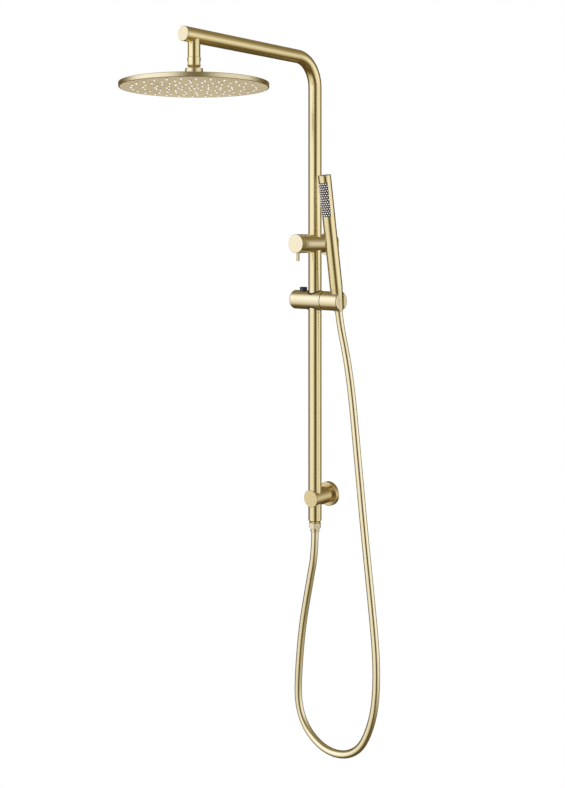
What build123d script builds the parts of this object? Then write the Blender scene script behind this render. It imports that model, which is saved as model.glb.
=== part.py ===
from build123d import *
import os
from math import cos, pi, radians, sin, tan

os.makedirs("parts", exist_ok=True)

# Rainfall shower column. Millimetres, +Z up, +X to the right seen from the room.
# The wall is the plane Y = 0 and the room is at -Y. The origin is the centre of the
# lower bracket's wall face.

UP = (0, 0, 1)
DOWN = (0, 0, -1)
OUT = (0, -1, 0)
ACROSS = (1, 0, 0)

# --- driving dimensions -------------------------------------------------------------
WALL_TO_RISER = 46.0      # wall plane to the riser's axis
TUBE_R = 12.5             # riser, arm and rail outer radius
TUBE_WALL = 1.2
DIVERTER_Z = 480.0        # height of the diverter and wall inlet axis
SLIDER_Z = 373.0          # height of the slider axis at rest
ARM_Z = 827.0             # height of the overhead arm's axis
ARM_REACH = 396.0         # wall plane to the arm's free end
BEND_R = 52.0             # centre-line radius of the riser's bend
HEAD_OUT = 370.0          # wall plane to the head's axis
HEAD_R = 125.0
HEAD_Z = 740.0            # underside of the head
RAIL_END_Z = -43.6        # lower end of the rail tube
FLANGE_R = 22.8
FLANGE_T = 8.5
HANDSET_X = 53.6          # handset axis, to the right of the riser
HANDSET_TILT = 9.8        # degrees, top leaning away from the wall
HANDSET_TOP = 236.0       # handset's top above the holder's axis, along the handset
HOSE_R = 7.0

RISER_AT = (0, -WALL_TO_RISER, 0)
TUBE_BORE = TUBE_R - TUBE_WALL
FIT = 0.05                # radial gap of pieces that are screwed or pressed together
RUN = 0.3                 # radial gap of pieces that move on each other


# --- helpers ------------------------------------------------------------------------
def turned(profile, at, direction):
    """Solid of revolution about an axis; profile is (radius, distance) corners."""
    outline = make_face(Polyline(*[(r, 0, h) for r, h in profile], close=True))
    return Plane(origin=at, z_dir=direction) * revolve(outline, Axis.Z)


def rod(radius, at, direction, start, stop):
    return turned([(0, start), (radius, start), (radius, stop), (0, stop)], at, direction)


def ring(inner, outer, at, direction, start, stop):
    corners = [(inner, start), (outer, start), (outer, stop), (inner, stop)]
    return turned(corners, at, direction)


def block(x, y, z):
    """Box from three (low, high) pairs."""
    size = [high - low for low, high in (x, y, z)]
    middle = [(low + high) / 2 for low, high in (x, y, z)]
    return Pos(*middle) * Box(*size)


def pipe(path, radius):
    return sweep(Plane(origin=path @ 0, z_dir=path % 0) * Circle(radius), path)


def group(solids):
    return Compound(children=[item for entry in solids for item in entry.solids()])


def save(nodes):
    for name, shape in nodes.items():
        export_step(shape, f"parts/{name}.step")


# --- riser, arm and rail ------------------------------------------------------------
SOCKET_DEPTH_Z = 8.0      # tube ends stop this far above and below the diverter's axis
CAP_T = 3.0
SPIGOT_R = 10.5
SPIGOT_END_Z = 790.7
SPIGOT_THREAD_R = 9.0
SPIGOT_THREAD_END_Z = 784.6
SPIGOT_BORE = 6.0
TENON_R = 8.0


def tubes():
    spigot_at = (0, -HEAD_OUT, 0)
    corners = [
        (0, -WALL_TO_RISER, DIVERTER_Z + SOCKET_DEPTH_Z),
        (0, -WALL_TO_RISER, ARM_Z),
        (0, -(ARM_REACH - CAP_T), ARM_Z),
    ]
    path = FilletPolyline(*corners, radius=BEND_R)
    riser = pipe(path, TUBE_R) - pipe(path, TUBE_BORE)
    riser -= rod(TENON_R, spigot_at, UP, ARM_Z - TUBE_R - 2, ARM_Z)

    arm_at = (0, 0, ARM_Z)
    cap = turned(
        [
            (0, ARM_REACH),
            (TUBE_R - 0.5, ARM_REACH),
            (TUBE_R, ARM_REACH - 0.5),
            (TUBE_R, ARM_REACH - CAP_T),
            (TUBE_BORE - FIT, ARM_REACH - CAP_T),
            (TUBE_BORE - FIT, ARM_REACH - CAP_T - 6),
            (0, ARM_REACH - CAP_T - 6),
        ],
        arm_at,
        OUT,
    )

    spigot = rod(SPIGOT_R, spigot_at, UP, SPIGOT_END_Z, ARM_Z)
    spigot -= rod(TUBE_R, arm_at, OUT, HEAD_OUT - 20, HEAD_OUT + 20)
    spigot += rod(TENON_R - FIT, spigot_at, UP, SPIGOT_END_Z, ARM_Z - TUBE_BORE + 0.5)
    spigot += rod(SPIGOT_THREAD_R, spigot_at, UP, SPIGOT_THREAD_END_Z, SPIGOT_END_Z)
    spigot -= rod(SPIGOT_BORE, spigot_at, UP, SPIGOT_THREAD_END_Z, ARM_Z)

    end_chamfer = 0.9
    rail_top = DIVERTER_Z - SOCKET_DEPTH_Z
    rail = turned(
        [
            (TUBE_BORE, RAIL_END_Z),
            (TUBE_R - end_chamfer, RAIL_END_Z),
            (TUBE_R, RAIL_END_Z + 2 * end_chamfer),
            (TUBE_R, rail_top),
            (TUBE_BORE, rail_top),
        ],
        RISER_AT,
        UP,
    )
    return {
        "riser_arm_tube": riser,
        "arm_end_cap": cap,
        "drop_spigot": spigot,
        "lower_rail_tube": rail,
    }


# --- diverter -----------------------------------------------------------------------
DIVERTER_R = 17.5
DIVERTER_AT = (0, 0, DIVERTER_Z)
BODY_BACK = 7.0           # distances from the wall, along OUT
BODY_FRONT = 86.6
CHAMBER_R = 13.5
CHAMBER_BACK = 62.0
CARTRIDGE_R = CHAMBER_R - FIT
KNOB_BACK = 87.0
KNOB_FRONT = 104.0
SPINDLE_R = 4.5
LEVER_R = 3.3
LEVER_OUT = 96.5          # lever pin's axis from the wall
LEVER_DROP = 32.1         # lever tip below the diverter's axis
UNION_R = 13.5
UNION_END = 22.0
INLET_THREAD_R = 9.32     # G1/2 internal thread
INLET_THREAD_L = 14.0


def diverter_body():
    body = rod(DIVERTER_R, DIVERTER_AT, OUT, BODY_BACK, BODY_FRONT)
    body -= rod(UNION_R, DIVERTER_AT, OUT, BODY_BACK, UNION_END + FIT)
    body -= rod(CHAMBER_R, DIVERTER_AT, OUT, CHAMBER_BACK, BODY_FRONT)
    port_r, web = 10.0, 4.0
    for direction in (UP, DOWN):
        at = (0, -WALL_TO_RISER, DIVERTER_Z)
        body -= rod(TUBE_R, at, direction, SOCKET_DEPTH_Z, 2 * DIVERTER_R)
        body -= rod(port_r, at, direction, web, SOCKET_DEPTH_Z)
    middle = DIVERTER_Z
    body -= block((-8, 8), (-CHAMBER_BACK, -UNION_END), (middle - 2.2, middle + 2.2))
    for side in (-1, 1):
        low, high = sorted((middle + side * 4.6, middle + side * 7.4))
        body -= block((-6, 6), (-CHAMBER_BACK, -WALL_TO_RISER - 4), (low, high))
    return body


def cartridge():
    disc_back, disc_t, gap = 66.0, 3.0, 0.05
    driver_back = disc_back + 2 * disc_t + 2 * gap
    cup = rod(CARTRIDGE_R, DIVERTER_AT, OUT, CHAMBER_BACK, 80)
    cup -= rod(10.0, DIVERTER_AT, OUT, disc_back, 80)
    cup -= rod(3.0, (0, 0, DIVERTER_Z), OUT, CHAMBER_BACK, disc_back)
    for side in (-1, 1):
        cup -= rod(2.0, (0, 0, DIVERTER_Z + side * 6.5), OUT, CHAMBER_BACK, disc_back)
    fixed = rod(9.9, DIVERTER_AT, OUT, disc_back, disc_back + disc_t)
    fixed -= rod(2.6, DIVERTER_AT, OUT, disc_back, disc_back + disc_t)
    for side in (-1, 1):
        hole_at = (0, 0, DIVERTER_Z + side * 6.5)
        fixed -= rod(2.0, hole_at, OUT, disc_back, disc_back + disc_t)
    moving = rod(9.6, DIVERTER_AT, OUT, disc_back + disc_t + gap, driver_back - gap)
    pocket = (disc_back + disc_t + gap, disc_back + disc_t + 1.6)
    moving -= block((-2.2, 2.2), (-pocket[1], -pocket[0]), (DIVERTER_Z - 8.4, DIVERTER_Z + 2.4))
    spindle = turned(
        [
            (0, driver_back - gap),
            (9.0, driver_back - gap),
            (9.0, 76),
            (SPINDLE_R, 76),
            (SPINDLE_R, 98.5),
            (SPINDLE_R - 0.6, 99),
            (0, 99),
        ],
        DIVERTER_AT,
        OUT,
    )
    nut = ring(SPINDLE_R + RUN, CARTRIDGE_R, DIVERTER_AT, OUT, 80, BODY_FRONT)
    return {
        "diverter_cartridge": cup,
        "fixed_ceramic_disc": fixed,
        "moving_ceramic_disc": moving,
        "diverter_spindle": spindle,
        "cartridge_nut": nut,
    }


def diverter_knob():
    edge = 0.6
    knob = turned(
        [
            (0, KNOB_BACK),
            (DIVERTER_R, KNOB_BACK),
            (DIVERTER_R, KNOB_FRONT - edge),
            (DIVERTER_R - edge, KNOB_FRONT),
            (0, KNOB_FRONT),
        ],
        DIVERTER_AT,
        OUT,
    )
    knob -= ring(SPINDLE_R + 3, DIVERTER_R - 2, DIVERTER_AT, OUT, KNOB_BACK, 92)
    knob -= rod(SPINDLE_R, DIVERTER_AT, OUT, KNOB_BACK, 99)
    lever_at = (0, -LEVER_OUT, DIVERTER_Z)
    knob -= rod(LEVER_R, lever_at, DOWN, 9.5, DIVERTER_R + 1)
    screw_at = (0, -LEVER_OUT, DIVERTER_Z)
    left = (-1, 0, 0)
    knob -= rod(2.0, screw_at, left, SPINDLE_R - 0.2, DIVERTER_R + 1)
    screw = rod(2.0 - FIT, screw_at, left, SPINDLE_R, SPINDLE_R + 6)
    screw -= rod(1.0, screw_at, left, SPINDLE_R + 3, SPINDLE_R + 6)
    tip = 0.5
    lever = turned(
        [
            (0, 9.5),
            (LEVER_R, 9.5),
            (LEVER_R, LEVER_DROP - tip),
            (LEVER_R - tip, LEVER_DROP),
            (0, LEVER_DROP),
        ],
        lever_at,
        DOWN,
    )
    return {"diverter_knob": knob, "knob_grub_screw": screw, "diverter_lever_pin": lever}


def wall_flange(bore, z):
    """Cover plate: a shallow cup with a rounded rim, open to the wall."""
    edge, wall = 1.2, 1.6
    return turned(
        [
            (FLANGE_R - wall, 0),
            (FLANGE_R, 0),
            (FLANGE_R, FLANGE_T - edge),
            (FLANGE_R - 0.35 * edge, FLANGE_T - 0.35 * edge),
            (FLANGE_R - edge, FLANGE_T),
            (bore, FLANGE_T),
            (bore, FLANGE_T - wall),
            (FLANGE_R - wall, FLANGE_T - wall),
        ],
        (0, 0, z),
        OUT,
    )


def wall_inlet():
    union = turned(
        [
            (INLET_THREAD_R, 0),
            (18.0, 0),
            (18.0, 4),
            (UNION_R - FIT, 4),
            (UNION_R - FIT, UNION_END),
            (6.0, UNION_END),
            (6.0, INLET_THREAD_L),
            (INLET_THREAD_R, INLET_THREAD_L),
        ],
        DIVERTER_AT,
        OUT,
    )
    groove = ring(UNION_R - 1.5, UNION_R, DIVERTER_AT, OUT, 16, 18)
    union -= groove
    seals = [ring(UNION_R - 1.4, UNION_R - FIT, DIVERTER_AT, OUT, 16.1, 17.9)]
    at = (0, -WALL_TO_RISER, DIVERTER_Z)
    for direction in (UP, DOWN):
        seals.append(ring(10.0 + FIT, TUBE_BORE, at, direction, SOCKET_DEPTH_Z - 1.8, SOCKET_DEPTH_Z))
    return union, seals


def diverter():
    union, seals = wall_inlet()
    body = diverter_body()
    at = (0, -WALL_TO_RISER, DIVERTER_Z)
    for direction in (UP, DOWN):
        body -= rod(TUBE_BORE, at, direction, SOCKET_DEPTH_Z - 1.8, SOCKET_DEPTH_Z)
    return {
        "diverter_body": body,
        **cartridge(),
        **diverter_knob(),
        "upper_wall_flange": wall_flange(DIVERTER_R + FIT, DIVERTER_Z),
        "wall_inlet_union": union,
        "tube_o_rings": group(seals),
    }


# --- lower bracket ------------------------------------------------------------------
BRACKET_R = 16.0
BRACKET_FRONT = WALL_TO_RISER + TUBE_R + 1.1
STUD_R = 11.0
STUD_END = 26.0
SCREW_SPACING = 33.0
SCREW_HOLE_R = 2.25


def lower_bracket():
    wall_at = (0, 0, 0)
    edge = 0.5
    body = turned(
        [
            (0, BODY_BACK),
            (BRACKET_R, BODY_BACK),
            (BRACKET_R, BRACKET_FRONT - edge),
            (BRACKET_R - edge, BRACKET_FRONT),
            (0, BRACKET_FRONT),
        ],
        wall_at,
        OUT,
    )
    body -= rod(TUBE_R, RISER_AT, UP, -20, 20)
    body -= rod(STUD_R, wall_at, OUT, BODY_BACK, STUD_END + FIT)
    screw_out = 18.0
    screw_at = (0, -screw_out, 0)
    body -= rod(2.5, screw_at, DOWN, STUD_R - 1, BRACKET_R + 1)
    plate = rod(21.0, wall_at, OUT, 0, 4) + rod(STUD_R - FIT, wall_at, OUT, 4, STUD_END)
    plate -= rod(2.5, screw_at, DOWN, STUD_R - 2.5, STUD_R + 1)
    for side in (-1, 1):
        hole_at = (side * SCREW_SPACING / 2, 0, 0)
        plate -= rod(SCREW_HOLE_R, hole_at, OUT, 0, 4)
    screw = rod(2.5 - FIT, screw_at, DOWN, STUD_R - 2.5, BRACKET_R - 1)
    screw -= rod(1.25, screw_at, DOWN, BRACKET_R - 3.5, BRACKET_R - 1)
    return {
        "lower_bracket_body": body,
        "lower_wall_plate": plate,
        "lower_wall_flange": wall_flange(BRACKET_R + FIT, 0),
        "bracket_grub_screw": screw,
    }


# --- rain head ----------------------------------------------------------------------
BALL_Z = 779.5
BALL_R = 6.5
NECK_R = 4.5
NECK_BORE = 3.0
SEAT_IN, SEAT_OUT = BALL_R + RUN, 8.2
CAVITY_R = SEAT_OUT + RUN
NUT_R = 11.2
NUT_CHAMFER = 3.6
SPANNER_FLAT = 10.3       # half the distance between the nut's spanner flats
SPANNER_TURN = 41.0
NUT_BOTTOM_Z = 773.3
COLLAR_R = 15.0
COLLAR_TOP_Z = 772.3
COLLAR_LIP_Z = 766.0
RIM_H = 8.0
PLATE_R = 123.2
PLATE_T = 1.5
MAT_R = 117.0
MAT_T = 1.2
NOZZLE_R = 1.7
NOZZLE_PROUD = 2.2
# ring radius, number of nozzles, angle of its first nozzle
NOZZLE_RINGS = [(8, 3, 8), (25.5, 9, -13), (45, 15, -14), (64, 22, -17), (84, 22, -17), (104, 28, -5)]


def nozzle_places():
    for radius, count, first in NOZZLE_RINGS:
        for step in range(count):
            angle = 2 * pi * step / count + radians(first)
            yield radius * cos(angle), radius * sin(angle)


def ball_joint():
    at = (0, -HEAD_OUT, 0)
    centre = Pos(0, -HEAD_OUT, BALL_Z)
    nut = turned(
        [
            (0, NUT_BOTTOM_Z),
            (7.7, NUT_BOTTOM_Z),
            (NUT_R, NUT_BOTTOM_Z + NUT_CHAMFER),
            (NUT_R, SPIGOT_END_Z - 0.5),
            (NUT_R - 0.5, SPIGOT_END_Z),
            (0, SPIGOT_END_Z),
        ],
        at,
        UP,
    )
    nut -= rod(SPIGOT_THREAD_R + FIT, at, UP, SPIGOT_THREAD_END_Z - FIT, SPIGOT_END_Z)
    nut -= centre * Sphere(CAVITY_R)
    nut -= rod(CAVITY_R, at, UP, BALL_Z, SPIGOT_THREAD_END_Z)
    nut -= rod(6.9, at, UP, NUT_BOTTOM_Z, BALL_Z)
    flats = block((-SPANNER_FLAT, SPANNER_FLAT), (-20, 20), (0, 7))
    around = rod(20, (0, 0, 0), UP, 0, 7) - flats
    nut -= Pos(0, -HEAD_OUT, NUT_BOTTOM_Z + NUT_CHAMFER + 0.8) * Rot(0, 0, SPANNER_TURN) * around
    seat_half = 3.0
    seat = centre * Sphere(SEAT_OUT) - centre * Sphere(SEAT_IN)
    seat &= rod(SEAT_OUT + 1, at, UP, BALL_Z - seat_half, BALL_Z + seat_half)
    flange_z = COLLAR_LIP_Z - 3
    stem = centre * Sphere(BALL_R)
    stem += rod(NECK_R, at, UP, COLLAR_LIP_Z - 1, BALL_Z)
    stem += rod(11.0, at, UP, flange_z, COLLAR_LIP_Z)
    stem -= rod(NECK_BORE, at, UP, flange_z, BALL_Z + BALL_R)
    return {"ball_nut": nut, "ball_seat_ring": seat, "ball_stem": stem}


def head():
    at = (0, -HEAD_OUT, 0)
    face_at = (0, -HEAD_OUT, HEAD_Z)
    flange_z = COLLAR_LIP_Z - 3
    boss_top = flange_z - HEAD_Z
    wall = 1.5
    dome_edge, dome_mid, dome_top = (HEAD_R - 1.5, RIM_H), (70.0, 12.3), (14.0, 15.0)
    shell_outline = make_face(
        Polyline(
            (dome_top[0], 0, dome_top[1]),
            (12.0, 0, dome_top[1]),
            (12.0, 0, boss_top),
            (9.0, 0, boss_top),
            (9.0, 0, dome_top[1] - wall),
            (dome_top[0], 0, dome_top[1] - wall),
        )
        + ThreePointArc(
            (dome_top[0], 0, dome_top[1] - wall),
            (dome_mid[0], 0, dome_mid[1] - wall),
            (HEAD_R - wall, 0, RIM_H - wall),
        )
        + Polyline(
            (HEAD_R - wall, 0, RIM_H - wall),
            (HEAD_R - wall, 0, 0),
            (HEAD_R - 0.5, 0, 0),
            (HEAD_R, 0, 0.5),
            (HEAD_R, 0, RIM_H - 1.0),
            (HEAD_R - 0.4, 0, RIM_H - 0.4),
            (dome_edge[0], 0, dome_edge[1]),
        )
        + ThreePointArc(
            (dome_edge[0], 0, dome_edge[1]),
            (dome_mid[0], 0, dome_mid[1]),
            (dome_top[0], 0, dome_top[1]),
        )
    )
    shell = Plane(origin=face_at, z_dir=UP) * revolve(shell_outline, Axis.Z)
    collar_bottom = HEAD_Z + dome_top[1] + 0.5
    collar = turned(
        [
            (12.0 + FIT, collar_bottom),
            (COLLAR_R - 0.8, collar_bottom),
            (COLLAR_R, collar_bottom + 0.8),
            (COLLAR_R, COLLAR_TOP_Z - 1.2),
            (COLLAR_R - 0.4, COLLAR_TOP_Z - 0.4),
            (COLLAR_R - 1.2, COLLAR_TOP_Z),
            (9.3, COLLAR_TOP_Z),
            (9.0, COLLAR_TOP_Z - 2.0),
            (NECK_R + FIT, COLLAR_TOP_Z - 2.0),
            (NECK_R + FIT, COLLAR_LIP_Z),
            (12.0 + FIT, COLLAR_LIP_Z),
        ],
        at,
        UP,
    )
    filter_disc = ring(NECK_BORE, 9.0 - FIT, at, UP, flange_z - 2.0, flange_z)
    holes = [Pos(x, y, 0) * Cylinder(NOZZLE_R + 0.1, 10) for x, y in nozzle_places()]
    tip_profile = [
        (0, -NOZZLE_PROUD),
        (NOZZLE_R - 0.45, -NOZZLE_PROUD),
        (NOZZLE_R, -0.4),
        (NOZZLE_R, PLATE_T + 0.5),
        (0, PLATE_T + 0.5),
    ]
    tip = turned(tip_profile, (0, 0, 0), UP)
    plate = rod(PLATE_R, (0, 0, 0), UP, 0, PLATE_T) - holes
    mat = rod(MAT_R, (0, 0, 0), UP, PLATE_T, PLATE_T + MAT_T)
    mat += [Pos(x, y, 0) * tip for x, y in nozzle_places()]
    place = Pos(*face_at)
    seal = ring(MAT_R + 0.5, PLATE_R - 1, face_at, UP, PLATE_T, RIM_H - 4.0)
    return {
        "head_top_shell": shell,
        "head_collar_nut": collar,
        "head_filter": filter_disc,
        "head_face_plate": place * plate,
        "head_nozzles": place * mat,
        "head_seal_ring": seal,
    }


# --- slider -------------------------------------------------------------------------
SLIDER_R = 18.0
SLIDER_LEFT, SEAM, HOLDER_RIGHT = -49.5, 22.7, 63.0
SEAM_GAP = 1.5
BUSH_R = 14.6
BUSH_PROUD = 1.0
BUTTON_X = -27.6
BUTTON_R = 7.1
BUTTON_TOP = 24.2         # above the slider's axis
BUTTON_FLOOR = 8.0        # underside of the cap
BUTTON_TRAVEL = 2.5
SHOE_RATIO = 0.4          # shoe travel per button travel
SLIDER_AT = (0, -WALL_TO_RISER, SLIDER_Z)


def slanted_block(left_gap, right, half_width, low, high):
    """Bar whose left face leans, so that pushing it down moves what it bears on."""
    left_low = left_gap - SHOE_RATIO * low
    left_high = left_gap - SHOE_RATIO * high
    outline = make_face(
        Polyline((left_low, 0, low), (right, 0, low), (right, 0, high), (left_high, 0, high), close=True)
    )
    return extrude(outline, half_width, both=True)


def slider():
    across_at = (0, 0, 0)
    end_round = 3.5
    body = turned(
        [(0, SLIDER_LEFT), (SLIDER_R, SLIDER_LEFT), (SLIDER_R, SEAM), (0, SEAM)], across_at, ACROSS
    )
    body = fillet(body.edges().sort_by(Axis.X)[0], end_round)
    bore = rod(BUSH_R, across_at, UP, -30, 30)
    shoe_cavity = block((-36.8, -12), (-5.0, 5.0), (-4.5, 4.5))
    stem_slot = block((-34.2, -21.6), (-3.2, 3.2), (-11.2, BUTTON_FLOOR))
    button_well = rod(BUTTON_R + RUN, (BUTTON_X, 0, 0), UP, BUTTON_FLOOR - BUTTON_TRAVEL - 0.5, 30)
    spring_well = rod(3.9, (BUTTON_X, 0, 0), UP, -14.6, -8)
    washer_r = 12.4
    washer_well = rod(washer_r + 0.1, across_at, ACROSS, SEAM - 1.2, SEAM)
    screw_hole = rod(2.5, across_at, ACROSS, BUSH_R - 1, SEAM)
    for cut in (bore, shoe_cavity, stem_slot, button_well, spring_well, washer_well, screw_hole):
        body -= cut

    bush = ring(TUBE_R + RUN, BUSH_R, across_at, UP, -20, 20)
    bush &= rod(SLIDER_R + BUSH_PROUD, across_at, ACROSS, -20, 20)
    bush -= block((-20, 0), (-5.0, 5.0), (-4.5, 4.5))

    button = turned(
        [
            (0, BUTTON_FLOOR),
            (BUTTON_R, BUTTON_FLOOR),
            (BUTTON_R, BUTTON_TOP - 0.6),
            (BUTTON_R - 0.6, BUTTON_TOP),
            (0, BUTTON_TOP),
        ],
        (BUTTON_X, 0, 0),
        UP,
    )
    button += slanted_block(-29.8, -22.8, 2.8, -8.0, BUTTON_FLOOR)
    shoe = block((-35.2, -TUBE_R - RUN), (-4.5, 4.5), (-4.0, 4.0))
    shoe -= slanted_block(-30.2, -22.0 + 0.6, 3.3, -4.0, 4.0)
    shoe -= rod(TUBE_R + RUN, across_at, UP, -5, 5)
    coils, wire_r, coil_r = 4, 0.4, 3.0
    helix = Helix(pitch=(14.6 - 8.0 - 2 * wire_r) / coils, height=14.6 - 8.0 - 2 * wire_r, radius=coil_r)
    spring = pipe(helix, wire_r)
    spring = Pos(BUTTON_X, 0, -14.6 + wire_r) * spring
    washer = ring(3.0, washer_r, across_at, ACROSS, SEAM - 1.2, SEAM + SEAM_GAP - RUN)
    screw = turned(
        [(0, BUSH_R + 0.5), (2.5 - FIT, BUSH_R + 0.5), (2.5 - FIT, 31), (4.5, 31), (4.5, 34), (0, 34)],
        across_at,
        ACROSS,
    )
    screw -= block((33, 34), (-2.6, 2.6), (-0.6, 0.6))
    place = Pos(*SLIDER_AT)
    pieces = {
        "slider_body": body,
        "slider_bush": bush,
        "slider_button": button,
        "button_spring": spring,
        "clamp_shoe": shoe,
        "friction_washer": washer,
        "pivot_screw": screw,
    }
    return {name: place * shape for name, shape in pieces.items()}


# --- handset and its holder (modelled upright, then tilted) --------------------------
HANDSET_R = 12.0
HANDSET_BORE = 10.6
HANDSET_FOOT = 4.0        # lower end of the handset, above the holder's axis
FOOT_R = 10.2
TAPER_TOP = 26.0
CONE_END = -19.0
CONE_END_R = 7.65
LINER_GAP = 0.3
LINER_T = 1.2
SLOT_HALF = 7.4
TILT = Pos(*SLIDER_AT) * Rot(HANDSET_TILT, 0, 0)


def cone_radius(height):
    """Outer radius of the handset's foot and the hose cone nut at this height."""
    if height >= HANDSET_FOOT:
        share = (height - HANDSET_FOOT) / (TAPER_TOP - HANDSET_FOOT)
        return FOOT_R + (HANDSET_R - FOOT_R) * min(share, 1.0)
    share = (height - HANDSET_FOOT) / (CONE_END - HANDSET_FOOT)
    return FOOT_R + (CONE_END_R - FOOT_R) * share


def cone_bore(extra):
    """Cradle surface around the foot and nut, larger by extra."""
    heights = [CONE_END - 6, CONE_END, HANDSET_FOOT, SLIDER_R + 1.2]
    radii = [cone_radius(max(height, CONE_END)) + LINER_GAP + extra for height in heights]
    return [(0, heights[0])] + list(zip(radii, heights)) + [(0, heights[-1])]


def holder():
    axis_at = (0, 0, 0)
    handset_at = (HANDSET_X, 0, 0)
    left = SEAM + SEAM_GAP
    end_round = 3.0
    body = turned([(0, left), (SLIDER_R, left), (SLIDER_R, HOLDER_RIGHT), (0, HOLDER_RIGHT)], axis_at, ACROSS)
    body = fillet(body.edges().sort_by(Axis.X)[-1], end_round)
    body -= turned(cone_bore(LINER_T), handset_at, UP)
    body -= block((HANDSET_X, HOLDER_RIGHT + 5), (-SLOT_HALF, SLOT_HALF), (-20, 20))
    body -= rod(2.5 + RUN, axis_at, ACROSS, left, 31)
    body -= rod(4.5 + RUN, axis_at, ACROSS, 30.7, HANDSET_X)
    liner = turned(cone_bore(LINER_T), handset_at, UP) - turned(cone_bore(0), handset_at, UP)
    reach = rod(SLIDER_R + 0.8, axis_at, ACROSS, HANDSET_X - 20, HOLDER_RIGHT - 1.0)
    liner &= reach
    liner -= block((HANDSET_X, HOLDER_RIGHT + 5), (-SLOT_HALF, SLOT_HALF), (-20, 20))
    return {"handset_holder": TILT * body, "holder_liner": TILT * liner}


PATCH_TOP = 220.0         # nozzle patch on the handset, above the holder's axis
PATCH_ROWS, PATCH_PITCH = 15, 4.1
PATCH_COLUMNS, PATCH_STEP = 6, 21.0   # degrees between columns
PATCH_TURN = 9.0          # the patch faces this far towards +X from straight out
PIP_R = 1.15
PIP_PROUD = 0.9


def patch_places():
    """(height, angle about the handset's axis) of every nozzle pip."""
    for row in range(PATCH_ROWS):
        shift = PATCH_STEP / 2 if row % 2 else 0.0
        columns = PATCH_COLUMNS - 1 if row % 2 else PATCH_COLUMNS
        for column in range(columns):
            start = -PATCH_STEP * (PATCH_COLUMNS - 1) / 2
            yield PATCH_TOP - row * PATCH_PITCH, start + shift + column * PATCH_STEP


def handset():
    at = (HANDSET_X, 0, 0)
    cap_z = HANDSET_TOP - 2.5
    tube = turned(
        [
            (8.4, HANDSET_FOOT),
            (FOOT_R - 0.3, HANDSET_FOOT),
            (FOOT_R, HANDSET_FOOT + 0.3),
            (HANDSET_R, TAPER_TOP),
            (HANDSET_R, cap_z),
            (HANDSET_BORE, cap_z),
            (HANDSET_BORE, TAPER_TOP + 2),
            (8.4, TAPER_TOP - 6),
        ],
        at,
        UP,
    )
    cap = turned(
        [
            (0, cap_z - 5),
            (HANDSET_BORE - FIT, cap_z - 5),
            (HANDSET_BORE - FIT, cap_z),
            (HANDSET_R, cap_z),
            (HANDSET_R, HANDSET_TOP - 0.6),
            (HANDSET_R - 0.6, HANDSET_TOP),
            (0, HANDSET_TOP),
        ],
        at,
        UP,
    )
    inner_r = 9.0
    waterway = ring(7.0, inner_r, at, UP, TAPER_TOP + 4, cap_z - 6)
    connector = turned(
        [
            (4.5, -8.0),
            (7.0, -8.0),
            (7.0, HANDSET_FOOT - FIT),
            (8.4 - FIT, HANDSET_FOOT + FIT),
            (8.4 - FIT, TAPER_TOP - 7),
            (7.0, TAPER_TOP - 7),
            (7.0, TAPER_TOP + 6),
            (4.5, TAPER_TOP + 6),
        ],
        at,
        UP,
    )
    holes, pips = [], []
    for height, angle in patch_places():
        turn = radians(angle + PATCH_TURN)
        direction = (sin(turn), -cos(turn), 0)
        pip_at = (HANDSET_X, 0, height)
        holes.append(rod(PIP_R + 0.05, pip_at, direction, 8, HANDSET_R + 2))
        pips.append(
            turned(
                [
                    (0, inner_r + 0.3),
                    (PIP_R, inner_r + 0.3),
                    (PIP_R, HANDSET_R + 0.4 * PIP_PROUD),
                    (0.6 * PIP_R, HANDSET_R + PIP_PROUD),
                    (0, HANDSET_R + PIP_PROUD),
                ],
                pip_at,
                direction,
            )
        )
    tube -= holes
    nut = turned(
        [
            (HOSE_R + FIT, CONE_END),
            (CONE_END_R, CONE_END),
            (FOOT_R, HANDSET_FOOT - 0.1),
            (7.0 + FIT, HANDSET_FOOT - 0.1),
        ],
        at,
        UP,
    )
    washer = ring(3.5, 7.0, at, UP, -9.4, -8.0)
    pieces = {
        "handset_tube": tube,
        "handset_end_cap": cap,
        "handset_waterway": waterway,
        "handset_inlet_connector": connector,
        "handset_nozzles": group(pips),
        "hose_cone_nut": nut,
        "hose_cone_washer": washer,
    }
    return {name: TILT * shape for name, shape in pieces.items()}


# --- hose and its lower end -----------------------------------------------------------
NUT_TOP_Z, NUT_LOW_Z = -46.8, -57.0
FERRULE_END_Z = -64.8
HOSE_START_Z = -58.0
OUTLET_THREAD_R = 9.3


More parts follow.
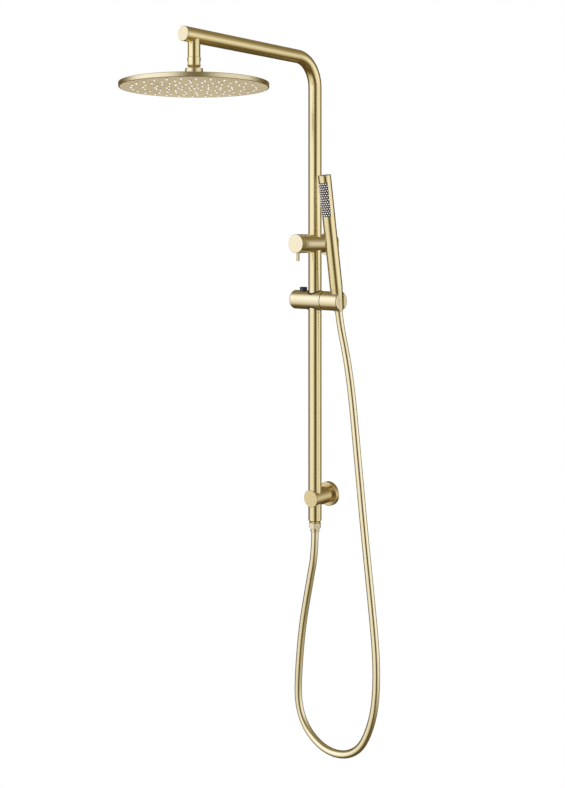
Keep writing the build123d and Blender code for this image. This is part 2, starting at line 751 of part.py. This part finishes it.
def hose_outlet():
    nipple = turned(
        [
            (6.0, -54.0),
            (OUTLET_THREAD_R, -54.0),
            (OUTLET_THREAD_R, RAIL_END_Z),
            (TUBE_BORE - FIT, RAIL_END_Z),
            (TUBE_BORE - FIT, -24),
            (6.0, -24),
        ],
        RISER_AT,
        UP,
    )
    across_flats = 21.0
    outline = RegularPolygon(across_flats / 2, 6, major_radius=False)
    hexagon = extrude(Plane((0, -WALL_TO_RISER, NUT_LOW_Z)) * outline, NUT_TOP_Z - NUT_LOW_Z)
    round_r, edge = 11.6, 1.0
    hexagon &= turned(
        [
            (0, NUT_LOW_Z),
            (round_r - edge, NUT_LOW_Z),
            (round_r, NUT_LOW_Z + edge),
            (round_r, NUT_TOP_Z - 0.6),
            (round_r - 0.6, NUT_TOP_Z),
            (0, NUT_TOP_Z),
        ],
        RISER_AT,
        UP,
    )
    nut = hexagon - rod(OUTLET_THREAD_R + FIT, RISER_AT, UP, -56, NUT_TOP_Z)
    nut -= rod(7.6, RISER_AT, UP, NUT_LOW_Z, -55)
    ferrule = turned(
        [
            (4.0, -54.8),
            (OUTLET_THREAD_R - 0.1, -54.8),
            (OUTLET_THREAD_R - 0.1, -56.0),
            (7.5, -56.0),
            (7.5, NUT_LOW_Z),
            (8.5, NUT_LOW_Z),
            (8.3, FERRULE_END_Z),
            (HOSE_R + FIT, FERRULE_END_Z),
            (HOSE_R + FIT, HOSE_START_Z),
            (4.0, HOSE_START_Z),
        ],
        RISER_AT,
        UP,
    )
    washer = ring(5.0, OUTLET_THREAD_R - 0.1, RISER_AT, UP, -54.8, -54.0)
    return {
        "hose_outlet_nipple": nipple,
        "hose_lower_nut": nut,
        "hose_lower_ferrule": ferrule,
        "hose_lower_washer": washer,
    }


# Route of the hose from the outlet down, round the loop and up into the cone nut.
HOSE_ROUTE = [
    (0, -46, HOSE_START_Z),
    (0, -46, -103),
    (-13, -45, -160),
    (-33, -43, -250),
    (-44, -41, -341),
    (-47, -39, -403),
    (-30, -37, -447),
    (9, -35.5, -474),
    (53, -33.5, -476),
    (91, -32, -455),
    (113, -30.5, -416),
    (127, -29, -362),
    (129, -28, -286),
    (119, -27, -197),
    (102, -27, -63),
    (87, -28, 76),
    (75, -30.5, 200),
    (65, -34, 272),
]


def hose():
    # the last two points lie on the tilted axis of the cone nut
    in_line = [(TILT * Pos(HANDSET_X, 0, height)).position for height in (-45.0, -9.4)]
    points = [Vector(*p) for p in HOSE_ROUTE] + in_line
    bends = []
    for before, here, after in zip(points, points[1:], points[2:]):
        turn = (here - before).get_angle(after - here)
        shorter = min((here - before).length, (after - here).length)
        bends.append(0.45 * shorter / tan(radians(turn) / 2))
    path = FilletPolyline(*points, radius=bends)
    tube = pipe(path, HOSE_R)
    print("hose bend radii", [round(r) for r in bends])
    print("hose runs", [round((b - a).length) for a, b in zip(points, points[1:])])
    print("hose ends at", [[round(v, 2) for v in p] for p in in_line])
    print("hose length", round(path.length, 1))
    print("hose volume / section x length", round(tube.volume / (pi * HOSE_R**2 * path.length), 4))
    return {"shower_hose": tube}


save(
    {
        **tubes(),
        **diverter(),
        **lower_bracket(),
        **ball_joint(),
        **head(),
        **slider(),
        **holder(),
        **handset(),
        **hose_outlet(),
        **hose(),
    }
)
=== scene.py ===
"""Rainfall shower column: looks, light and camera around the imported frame."""
from math import cos, pi, radians, sin

import bpy
import bmesh
from mathutils import Matrix, Vector

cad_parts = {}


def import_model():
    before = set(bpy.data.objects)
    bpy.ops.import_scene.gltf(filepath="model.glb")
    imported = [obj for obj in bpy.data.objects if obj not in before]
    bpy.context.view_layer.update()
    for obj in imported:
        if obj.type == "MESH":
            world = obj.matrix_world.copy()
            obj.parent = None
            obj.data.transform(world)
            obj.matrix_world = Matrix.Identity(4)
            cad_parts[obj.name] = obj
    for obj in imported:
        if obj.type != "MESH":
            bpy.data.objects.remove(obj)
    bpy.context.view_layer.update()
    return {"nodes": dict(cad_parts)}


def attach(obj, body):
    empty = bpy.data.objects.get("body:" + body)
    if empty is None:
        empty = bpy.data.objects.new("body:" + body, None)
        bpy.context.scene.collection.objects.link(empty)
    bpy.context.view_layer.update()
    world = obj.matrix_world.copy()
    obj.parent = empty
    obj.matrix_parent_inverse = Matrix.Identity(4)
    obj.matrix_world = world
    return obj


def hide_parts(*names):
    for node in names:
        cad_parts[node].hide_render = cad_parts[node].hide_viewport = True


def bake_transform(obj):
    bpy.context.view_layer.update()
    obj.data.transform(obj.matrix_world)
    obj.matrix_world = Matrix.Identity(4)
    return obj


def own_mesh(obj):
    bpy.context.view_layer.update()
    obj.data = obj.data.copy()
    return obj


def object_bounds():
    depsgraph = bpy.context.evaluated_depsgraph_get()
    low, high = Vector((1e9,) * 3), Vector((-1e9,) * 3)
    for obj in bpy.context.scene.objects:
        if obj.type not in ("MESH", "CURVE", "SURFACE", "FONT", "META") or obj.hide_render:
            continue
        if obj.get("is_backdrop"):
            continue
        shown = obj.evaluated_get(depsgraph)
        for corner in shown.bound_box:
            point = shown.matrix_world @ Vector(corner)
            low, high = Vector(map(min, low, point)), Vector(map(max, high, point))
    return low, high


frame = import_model()
nodes = frame["nodes"]


# --- node helpers ---------------------------------------------------------------------
def new_material(name):
    material = bpy.data.materials.new(name)
    material.use_nodes = True
    tree = material.node_tree
    return material, tree, tree.nodes["Principled BSDF"]


def add(tree, kind, **settings):
    node = tree.nodes.new(kind)
    for name, value in settings.items():
        setattr(node, name, value)
    return node


def ramp(tree, source, stops):
    """Colour ramp from a factor; stops are (position, colour)."""
    node = add(tree, "ShaderNodeValToRGB")
    elements = node.color_ramp.elements
    elements[0].position, elements[0].color = stops[0][0], (*stops[0][1], 1)
    elements[1].position, elements[1].color = stops[-1][0], (*stops[-1][1], 1)
    for position, colour in stops[1:-1]:
        element = elements.new(position)
        element.color = (*colour, 1)
    tree.links.new(source, node.inputs["Fac"])
    return node.outputs["Color"]


def noise(tree, scale, stretch=(1, 1, 1), detail=3.0):
    """Noise in object space, stretched along an axis for brushed or wrapped surfaces."""
    place = add(tree, "ShaderNodeTexCoord")
    mapping = add(tree, "ShaderNodeMapping")
    mapping.inputs["Scale"].default_value = stretch
    texture = add(tree, "ShaderNodeTexNoise")
    texture.inputs["Scale"].default_value = scale
    texture.inputs["Detail"].default_value = detail
    tree.links.new(place.outputs["Object"], mapping.inputs["Vector"])
    tree.links.new(mapping.outputs["Vector"], texture.inputs["Vector"])
    return texture.outputs["Fac"]


def bump(tree, shader, height, strength, distance):
    node = add(tree, "ShaderNodeBump")
    node.inputs["Strength"].default_value = strength
    node.inputs["Distance"].default_value = distance
    tree.links.new(height, node.inputs["Height"])
    tree.links.new(node.outputs["Normal"], shader.inputs["Normal"])


def spread(tree, source, low, high):
    """Maps a 0..1 factor to low..high."""
    node = add(tree, "ShaderNodeMapRange")
    node.inputs["To Min"].default_value = low
    node.inputs["To Max"].default_value = high
    tree.links.new(source, node.inputs["Value"])
    return node.outputs["Result"]


# --- materials ------------------------------------------------------------------------
GRAIN_DEPTH = 0.0002   # how deep the brushed lines and speckles look, in metres
GOLD = (0.88, 0.79, 0.55)
GOLD_DEEP = (0.84, 0.745, 0.51)
TUBE_GOLD = (0.88, 0.765, 0.46)
TUBE_GOLD_DEEP = (0.83, 0.715, 0.42)
BRACKET_GOLD = (0.78, 0.65, 0.38)
BRACKET_GOLD_DEEP = (0.70, 0.57, 0.31)
HOSE_GOLD = (0.96, 0.88, 0.64)
HOSE_GOLD_DEEP = (0.91, 0.82, 0.57)
GOLD_PALE = (0.93, 0.85, 0.66)
GOLD_FACE = (0.62, 0.51, 0.23)


def brushed_gold(name, grain, light=GOLD, deep=GOLD_DEEP, rough=(0.19, 0.27)):
    """PVD champagne gold with a fine brushed grain; grain holds the stretch of its lines."""
    material, tree, shader = new_material(name)
    lines = noise(tree, 260.0, grain, 4.0)
    cloud = noise(tree, 14.0, (1, 1, 1), 2.0)
    colour = ramp(tree, lines, [(0.3, deep), (0.7, light)])
    tree.links.new(colour, shader.inputs["Base Color"])
    shader.inputs["Metallic"].default_value = 1.0
    tree.links.new(spread(tree, cloud, *rough), shader.inputs["Roughness"])
    bump(tree, shader, lines, 0.004, GRAIN_DEPTH)
    return material


def plain(name, colour, roughness, grain=900.0, strength=0.06, metallic=0.0):
    """Plastic, rubber, ceramic or plain steel with a fine speckle."""
    material, tree, shader = new_material(name)
    speckle = noise(tree, grain, (1, 1, 1), 2.0)
    darker = tuple(0.82 * c for c in colour)
    tree.links.new(ramp(tree, speckle, [(0.3, darker), (0.7, colour)]), shader.inputs["Base Color"])
    shader.inputs["Roughness"].default_value = roughness
    shader.inputs["Metallic"].default_value = metallic
    bump(tree, shader, speckle, strength, GRAIN_DEPTH)
    return material


def silicone(name, colours):
    """Pale rubber that lets a little light through; colours are its darker and lighter tone."""
    material, tree, shader = new_material(name)
    cloud = noise(tree, 120.0)
    stops = list(zip((0.3, 0.7), colours))
    tree.links.new(ramp(tree, cloud, stops), shader.inputs["Base Color"])
    shader.inputs["Roughness"].default_value = 0.32
    shader.inputs["Subsurface Weight"].default_value = 0.35
    shader.inputs["Subsurface Radius"].default_value = (0.002, 0.002, 0.0022)
    bump(tree, shader, cloud, 0.05, GRAIN_DEPTH)
    return material


# Stretch of the grain's lines along each axis, and grain without a direction.
ALONG_Z = (1, 1, 0.02)
ALONG_X = (0.02, 1, 1)
ALONG_Y = (1, 0.02, 1)
ROUND = (1, 1, 1)

MATERIALS = {
    "gold_up": brushed_gold("gold_brushed_up", ALONG_Z, TUBE_GOLD, TUBE_GOLD_DEEP),
    "gold_across": brushed_gold("gold_brushed_across", ALONG_X),
    "gold_out": brushed_gold("gold_brushed_out", ALONG_Y),
    "gold_bracket": brushed_gold("gold_bracket", ALONG_Y, BRACKET_GOLD, BRACKET_GOLD_DEEP, (0.22, 0.30)),
    "gold_cover": brushed_gold("gold_cover", ROUND, BRACKET_GOLD, BRACKET_GOLD_DEEP, (0.26, 0.34)),
    "gold_flat": brushed_gold("gold_satin", ROUND, rough=(0.30, 0.38)),
    "gold_face": brushed_gold("gold_head_face", ROUND, GOLD_FACE, (0.58, 0.47, 0.21), (0.42, 0.5)),
    "gold_pale": brushed_gold("gold_pale", ALONG_Z, GOLD_PALE, (0.88, 0.80, 0.60), (0.38, 0.46)),
    "raw_brass": brushed_gold("machined_brass", ALONG_Z, (0.78, 0.62, 0.30), (0.70, 0.54, 0.24), (0.2, 0.3)),
    "black": plain("black_plastic", (0.045, 0.052, 0.085), 0.3),
    "grey": plain("grey_plastic", (0.42, 0.40, 0.43), 0.4),
    "white": plain("white_plastic", (0.80, 0.80, 0.78), 0.4),
    "ceramic": plain("ceramic", (0.90, 0.90, 0.88), 0.12, 300.0, 0.02),
    "steel": plain("steel", (0.50, 0.50, 0.52), 0.3, metallic=1.0),
    "rubber": plain("seal_rubber", (0.04, 0.04, 0.04), 0.6),
    "silicone": silicone("silicone", [(0.80, 0.79, 0.84), (0.93, 0.92, 0.95)]),
    "silicone_grey": silicone("silicone_grey", [(0.82, 0.80, 0.86), (0.92, 0.90, 0.95)]),
}

FINISH = {
    "gold_up": ["riser_arm_tube", "lower_rail_tube", "drop_spigot", "handset_tube", "ball_nut"],
    "gold_across": ["slider_body", "handset_holder"],
    "gold_out": ["diverter_body", "diverter_knob"],
    "gold_bracket": ["lower_bracket_body"],
    "gold_flat": [
        "arm_end_cap", "upper_wall_flange", "diverter_lever_pin",
        "head_collar_nut", "head_top_shell", "handset_end_cap", "hose_cone_nut", "hose_lower_ferrule",
    ],
    "gold_cover": ["lower_wall_flange"],
    "gold_face": ["head_face_plate"],
    "gold_pale": ["hose_lower_nut"],
    "raw_brass": [
        "wall_inlet_union", "diverter_spindle", "hose_outlet_nipple", "ball_stem",
        "handset_inlet_connector", "cartridge_nut", "lower_wall_plate",
    ],
    "black": ["slider_button", "slider_bush", "clamp_shoe", "friction_washer"],
    "grey": ["holder_liner"],
    "white": ["diverter_cartridge", "handset_waterway", "ball_seat_ring", "head_filter"],
    "silicone": ["head_nozzles"],
    "silicone_grey": ["handset_nozzles"],
    "ceramic": ["fixed_ceramic_disc", "moving_ceramic_disc"],
    "steel": ["bracket_grub_screw", "knob_grub_screw", "pivot_screw", "button_spring"],
    "rubber": ["tube_o_rings", "head_seal_ring", "hose_lower_washer", "hose_cone_washer"],
}
for key, names in FINISH.items():
    for name in names:
        slots = nodes[name].material_slots
        if slots:
            for slot in slots:
                slot.material = MATERIALS[key]
        else:
            nodes[name].data.materials.append(MATERIALS[key])


# --- hose -----------------------------------------------------------------------------
# The route of the hose, in metres: from the outlet down, round the loop and up into the cone nut.
HOSE_ROUTE = [
    (0, -0.046, -0.058),
    (0, -0.046, -0.103),
    (-0.013, -0.045, -0.160),
    (-0.033, -0.043, -0.250),
    (-0.044, -0.041, -0.341),
    (-0.047, -0.039, -0.403),
    (-0.030, -0.037, -0.447),
    (0.009, -0.0355, -0.474),
    (0.053, -0.0335, -0.476),
    (0.091, -0.032, -0.455),
    (0.113, -0.0305, -0.416),
    (0.127, -0.029, -0.362),
    (0.129, -0.028, -0.286),
    (0.119, -0.027, -0.197),
    (0.102, -0.027, -0.063),
    (0.087, -0.028, 0.076),
    (0.075, -0.0305, 0.200),
    (0.065, -0.034, 0.272),
    (0.0536, -0.03834, 0.32866),
    (0.0536, -0.0444, 0.36374),
]
HOSE_R = 0.007
HOSE_LENGTH = 1.358       # of the whole hose
RING_STEP = 0.003         # distance between the rings of the hose's mesh
AROUND = 32               # corners in each ring
HOLDER_SECTION = 0.072    # the part of the hose just below the holder
HANDSET_SECTION = 0.062   # the part inside the cone nut and below it


def spline_points(route, step):
    """Points along the smooth NURBS line of a route, about step apart."""
    curve = bpy.data.curves.new("hose_line", "CURVE")
    curve.dimensions = "3D"
    spline = curve.splines.new("NURBS")
    spline.points.add(len(route) - 1)
    for point, place in zip(spline.points, route):
        point.co = (*place, 1)
    spline.order_u = 3
    spline.use_endpoint_u = True
    curve.resolution_u = 24
    line = bpy.data.objects.new("hose_line", curve)
    bpy.context.scene.collection.objects.link(line)
    depsgraph = bpy.context.evaluated_depsgraph_get()
    mesh = bpy.data.meshes.new_from_object(line.evaluated_get(depsgraph))
    rough = [v.co.copy() for v in mesh.vertices]
    bpy.data.objects.remove(line)
    lengths = [0.0]
    for a, b in zip(rough, rough[1:]):
        lengths.append(lengths[-1] + (b - a).length)
    count = round(lengths[-1] / step)
    points, index = [], 0
    for i in range(count + 1):
        goal = lengths[-1] * i / count
        while index < len(rough) - 2 and lengths[index + 1] < goal:
            index += 1
        share = (goal - lengths[index]) / (lengths[index + 1] - lengths[index])
        points.append(rough[index].lerp(rough[index + 1], share))
    return points


def tube_mesh(name, points, radius, around):
    """Closed tube along points."""
    mesh = bpy.data.meshes.new(name)
    shape = bmesh.new()
    side = Vector((0, 1, 0))
    rings = []
    for i, here in enumerate(points):
        before = points[max(i - 1, 0)]
        after = points[min(i + 1, len(points) - 1)]
        along = (after - before).normalized()
        side = (side - along * side.dot(along)).normalized()
        up = along.cross(side)
        ring = []
        for k in range(around):
            angle = 2 * pi * k / around
            ring.append(shape.verts.new(here + radius * (cos(angle) * side + sin(angle) * up)))
        rings.append(ring)
    for low, high in zip(rings, rings[1:]):
        for k in range(around):
            shape.faces.new((low[k], low[(k + 1) % around], high[(k + 1) % around], high[k]))
    for face in shape.faces:
        face.smooth = True
    for outline in (list(reversed(rings[0])), rings[-1]):
        cap = shape.faces.new(outline)
        for edge in cap.edges:
            edge.smooth = False
    shape.to_mesh(mesh)
    shape.free()
    obj = bpy.data.objects.new(name, mesh)
    bpy.context.scene.collection.objects.link(obj)
    return obj


hose_points = spline_points(HOSE_ROUTE, RING_STEP)
last = len(hose_points) - 1
step = HOSE_LENGTH / last
cut_bottom = min(range(last), key=lambda i: hose_points[i].z)
cut_handset = last - round(HANDSET_SECTION / step)
cut_holder = cut_handset - round(HOLDER_SECTION / step)


def hose_piece(name, first, final):
    return tube_mesh(name, hose_points[first : final + 1], HOSE_R, AROUND)


# One hose, drawn in four pieces that meet ring to ring.
outlet_hose = hose_piece("hose_from_outlet", 0, cut_bottom)
main_hose = hose_piece("hose_main", cut_bottom, cut_holder)
holder_hose = hose_piece("hose_below_holder", cut_holder, cut_handset)
handset_hose = hose_piece("hose_in_cone_nut", cut_handset, last)
hose_gold = brushed_gold("hose_jacket_gold", ROUND, HOSE_GOLD, HOSE_GOLD_DEEP, (0.20, 0.26))
for piece in (outlet_hose, main_hose, holder_hose, handset_hose):
    piece.data.materials.append(hose_gold)
    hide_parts("shower_hose")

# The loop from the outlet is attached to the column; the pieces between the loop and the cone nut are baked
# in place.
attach(outlet_hose, "column")
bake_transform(main_hose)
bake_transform(holder_hose)
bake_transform(handset_hose)


# --- spring under the slider's button -----------------------------------------------------
SPRING_X, SPRING_Y = -0.0276, -0.046
SPRING_LOW, SPRING_HIGH = 0.3588, 0.3646
SPRING_R, WIRE_R = 0.0030, 0.0004
SPRING_COILS, COIL_STEPS = 4, 24
WIRE_CORNERS = 8


def spring_points():
    steps = SPRING_COILS * COIL_STEPS
    first = SPRING_LOW + WIRE_R
    rise = SPRING_HIGH - SPRING_LOW - 2 * WIRE_R
    for i in range(steps + 1):
        angle = 2 * pi * i / COIL_STEPS
        x = SPRING_X + SPRING_R * cos(angle)
        y = SPRING_Y + SPRING_R * sin(angle)
        yield Vector((x, y, first + rise * i / steps))


spring = tube_mesh("button_spring_coil", list(spring_points()), WIRE_R, WIRE_CORNERS)
spring.data.materials.append(MATERIALS["steel"])
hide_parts("button_spring")
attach(spring, "slider")
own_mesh(spring)


# --- painted shade under the handset's nozzles: a dark pad between the pips -------------
def curved_pad(name, axis_at, tilt, low, high, turn, half_angle, inner, outer):
    """Closed strip that follows a tilted round tube; turn is its middle's angle towards +X."""
    across, rise = 24, 12
    mesh = bpy.data.meshes.new(name)
    shape = bmesh.new()
    place = Matrix.Translation(axis_at) @ Matrix.Rotation(radians(tilt), 4, "X")
    for i in range(rise + 1):
        height = low + (high - low) * i / rise
        for radius in (inner, outer):
            for k in range(across + 1):
                angle = radians(turn - half_angle + 2 * half_angle * k / across)
                point = Vector((radius * sin(angle), -radius * cos(angle), height))
                shape.verts.new(place @ point)
    shape.verts.ensure_lookup_table()
    ring_size = 2 * (across + 1)

    def at(i, side, k):
        return shape.verts[i * ring_size + side * (across + 1) + k]

    for i in range(rise):
        for k in range(across):
            shape.faces.new((at(i, 1, k), at(i, 1, k + 1), at(i + 1, 1, k + 1), at(i + 1, 1, k)))
            shape.faces.new((at(i, 0, k + 1), at(i, 0, k), at(i + 1, 0, k), at(i + 1, 0, k + 1)))
        shape.faces.new((at(i, 0, 0), at(i, 1, 0), at(i + 1, 1, 0), at(i + 1, 0, 0)))
        shape.faces.new((at(i, 1, across), at(i, 0, across), at(i + 1, 0, across), at(i + 1, 1, across)))
    for k in range(across):
        shape.faces.new((at(0, 0, k), at(0, 0, k + 1), at(0, 1, k + 1), at(0, 1, k)))
        shape.faces.new((at(rise, 1, k), at(rise, 1, k + 1), at(rise, 0, k + 1), at(rise, 0, k)))
    shape.to_mesh(mesh)
    shape.free()
    pad = bpy.data.objects.new(name, mesh)
    bpy.context.scene.collection.objects.link(pad)
    return pad


SLIDER_AT = (0.0, -0.046, 0.373)
HANDSET_X = 0.0536
HANDSET_TILT = 9.8
PAD_LOW, PAD_HIGH = 0.1601, 0.2225   # along the handset, above the holder's axis
PAD_TURN, PAD_HALF_ANGLE = 6.0, 54.0
PAD_INNER, PAD_OUTER = 0.0117, 0.0121
pad_axis = Vector(SLIDER_AT) + Vector((HANDSET_X, 0, 0))
painted_shade_pad = curved_pad(
    "handset_painted_nozzle_shade", pad_axis, HANDSET_TILT, PAD_LOW, PAD_HIGH,
    PAD_TURN, PAD_HALF_ANGLE, PAD_INNER, PAD_OUTER,
)
# The pad's near-black grey is painted shade: it stands in for the shadows round the pips.
painted_shade_pad.data.materials.append(plain("nozzle_shade_painted_grey", (0.085, 0.075, 0.06), 0.35))
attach(painted_shade_pad, "handset")


# --- stage, camera and light ------------------------------------------------------------
def emitter(name, colour, strength):
    material = bpy.data.materials.new(name)
    material.use_nodes = True
    tree = material.node_tree
    tree.nodes.clear()
    glow = add(tree, "ShaderNodeEmission")
    glow.inputs["Color"].default_value = (*colour, 1)
    glow.inputs["Strength"].default_value = strength
    output = add(tree, "ShaderNodeOutputMaterial")
    tree.links.new(glow.outputs["Emission"], output.inputs["Surface"])
    return material


def floor():
    size, drop = 9.0, 0.20
    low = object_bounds()[0]
    mesh = bpy.data.meshes.new("floor")
    z = low[2] - drop
    corners = [(-size, -size, z), (size, -size, z), (size, size, z), (-size, size, z)]
    mesh.from_pydata(corners, [], [(0, 1, 2, 3)])
    plane = bpy.data.objects.new("floor", mesh)
    bpy.context.scene.collection.objects.link(plane)
    mesh.materials.append(emitter("floor_white", (1, 1, 1), 1.0))
    plane.visible_glossy = False
    plane.visible_diffuse = False
    plane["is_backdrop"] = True


VIEW_AZIMUTH = 41.23             # the camera's direction, in degrees from +Y towards -X
WALL_LIGHT = 1.09                # brightness of the whole room in reflections
WARM_POWERS = (1.0, 1.15, 1.6)   # dim parts of the room are warmer than bright ones
# Brightness by degrees to the right of the camera's direction.
LEFT_BY_TURN = [(-135, 0.0), (-118, 0.05), (-100, 0.8), (-84, 1.0), (-40, 1.0), (-26, 0.8), (-8, 0.0)]
RIGHT_BY_TURN = [(18, 0.0), (34, 0.8), (48, 1.0), (84, 1.0), (100, 0.8), (118, 0.05), (135, 0.0)]
# Brightness by degrees above level.
LEFT_BY_HEIGHT = [
    (-70, 0.0), (-51, 0.1), (-46, 0.35), (-38, 0.55), (-25, 0.7), (-10, 0.86), (8, 1.0), (22, 1.0), (38, 0.8),
    (47, 0.5), (54, 0.15), (70, 0.0),
]
RIGHT_BY_HEIGHT = [
    (-50, 0.03), (-37, 0.22), (-24, 0.65), (-8, 0.92), (6, 0.88), (20, 0.5), (34, 0.2), (60, 0.0),
]
BASE_BY_HEIGHT = [(-90, 0.10), (-30, 0.10), (0, 0.08), (18, 0.10), (34, 0.22), (90, 0.24)]


def maths(tree, operation, first, second=None):
    node = add(tree, "ShaderNodeMath", operation=operation)
    for socket, value in zip(node.inputs, (first, second)):
        if isinstance(value, (int, float)):
            socket.default_value = value
        elif value is not None:
            tree.links.new(value, socket)
    return node.outputs[0]


def grey_ramp(tree, source, stops, degrees):
    """Value by angle; source runs from 0 to 1 over this many degrees with 0.5 at angle 0."""
    places = sorted((0.5 + angle / degrees, value) for angle, value in stops)
    return ramp(tree, source, [(at, (value, value, value)) for at, value in places])


def world():
    """White to the camera. Reflections see a wide soft wall of light on either side, a dark gap
    on the camera's side and behind, and weak light from above and below."""
    scene = bpy.context.scene
    scene.world = bpy.data.worlds.new("studio")
    scene.world.use_nodes = True
    tree = scene.world.node_tree
    tree.nodes.clear()
    place = add(tree, "ShaderNodeTexCoord")
    turn = add(tree, "ShaderNodeVectorRotate", rotation_type="Z_AXIS")
    turn.inputs["Angle"].default_value = -radians(VIEW_AZIMUTH)
    tree.links.new(place.outputs["Generated"], turn.inputs["Vector"])
    parts = add(tree, "ShaderNodeSeparateXYZ")
    tree.links.new(turn.outputs["Vector"], parts.inputs["Vector"])
    x, y, z = (parts.outputs[name] for name in "XYZ")
    azimuth = maths(tree, "ARCTAN2", x, maths(tree, "MULTIPLY", y, -1.0))
    around = maths(tree, "ADD", maths(tree, "DIVIDE", azimuth, 2 * pi), 0.5)
    height = maths(tree, "ADD", maths(tree, "DIVIDE", maths(tree, "ARCSINE", z), pi), 0.5)
    total = grey_ramp(tree, height, BASE_BY_HEIGHT, 180)
    for by_turn, by_height in ((LEFT_BY_TURN, LEFT_BY_HEIGHT), (RIGHT_BY_TURN, RIGHT_BY_HEIGHT)):
        across = grey_ramp(tree, around, by_turn, 360)
        fade = grey_ramp(tree, height, by_height, 180)
        total = maths(tree, "ADD", total, maths(tree, "MULTIPLY", across, fade))
    total = maths(tree, "MULTIPLY", total, WALL_LIGHT)
    tinted = add(tree, "ShaderNodeCombineXYZ")
    for socket, power in zip(tinted.inputs, WARM_POWERS):
        tree.links.new(maths(tree, "POWER", total, power), socket)
    soft = add(tree, "ShaderNodeBackground")
    tree.links.new(tinted.outputs["Vector"], soft.inputs["Color"])
    white = add(tree, "ShaderNodeBackground")
    white.inputs["Color"].default_value = (1, 1, 1, 1)
    path = add(tree, "ShaderNodeLightPath")
    mix = add(tree, "ShaderNodeMixShader")
    output = add(tree, "ShaderNodeOutputWorld")
    tree.links.new(path.outputs["Is Camera Ray"], mix.inputs["Fac"])
    tree.links.new(soft.outputs["Background"], mix.inputs[1])
    tree.links.new(white.outputs["Background"], mix.inputs[2])
    tree.links.new(mix.outputs["Shader"], output.inputs["Surface"])


LIGHT_TARGET = Vector((0.03, -0.1, 0.2))
LIGHT_COLOUR = (1, 0.98, 0.94)


def softbox(name, turn, height, distance, size, power, receivers):
    """Area light that lights only its receivers. It stands at a turn, in degrees, round the column,
    where 0 is the camera's side, and it is aimed at the column's middle."""
    angle = radians(VIEW_AZIMUTH + turn)
    place = LIGHT_TARGET + Vector((sin(angle) * distance, -cos(angle) * distance, height))
    light = bpy.data.lights.new(name, "AREA")
    light.shape = "RECTANGLE"
    light.size, light.size_y = size
    light.energy = power
    light.color = LIGHT_COLOUR
    obj = bpy.data.objects.new(name, light)
    obj.location = place
    obj.rotation_euler = (LIGHT_TARGET - place).to_track_quat("-Z", "Y").to_euler()
    obj.visible_camera = False
    bpy.context.scene.collection.objects.link(obj)
    lit = bpy.data.collections.new(name + "_receivers")
    for receiver in receivers:
        lit.objects.link(receiver)
    obj.light_linking.receiver_collection = lit


def camera():
    data = bpy.data.cameras.new("camera")
    data.lens = 48.48
    data.sensor_width = 36.0
    data.shift_x = 0.030
    data.shift_y = -0.199
    data.clip_end = 50
    obj = bpy.data.objects.new("camera", data)
    obj.location = (1.242, -1.624, 0.492)
    obj.rotation_euler = (radians(90), 0, radians(VIEW_AZIMUTH))
    bpy.context.scene.collection.objects.link(obj)
    bpy.context.scene.camera = obj


world()
camera()
floor()
softbox("nozzle_light", -10, -0.3, 1.6, (1.5, 1.0), 30, [nodes["head_nozzles"], nodes["handset_nozzles"]])
softbox("head_glow", 180, 0.35, 1.4, (3.2, 1.3), 21, [nodes["head_face_plate"]])
bpy.context.scene.view_settings.view_transform = "Standard"
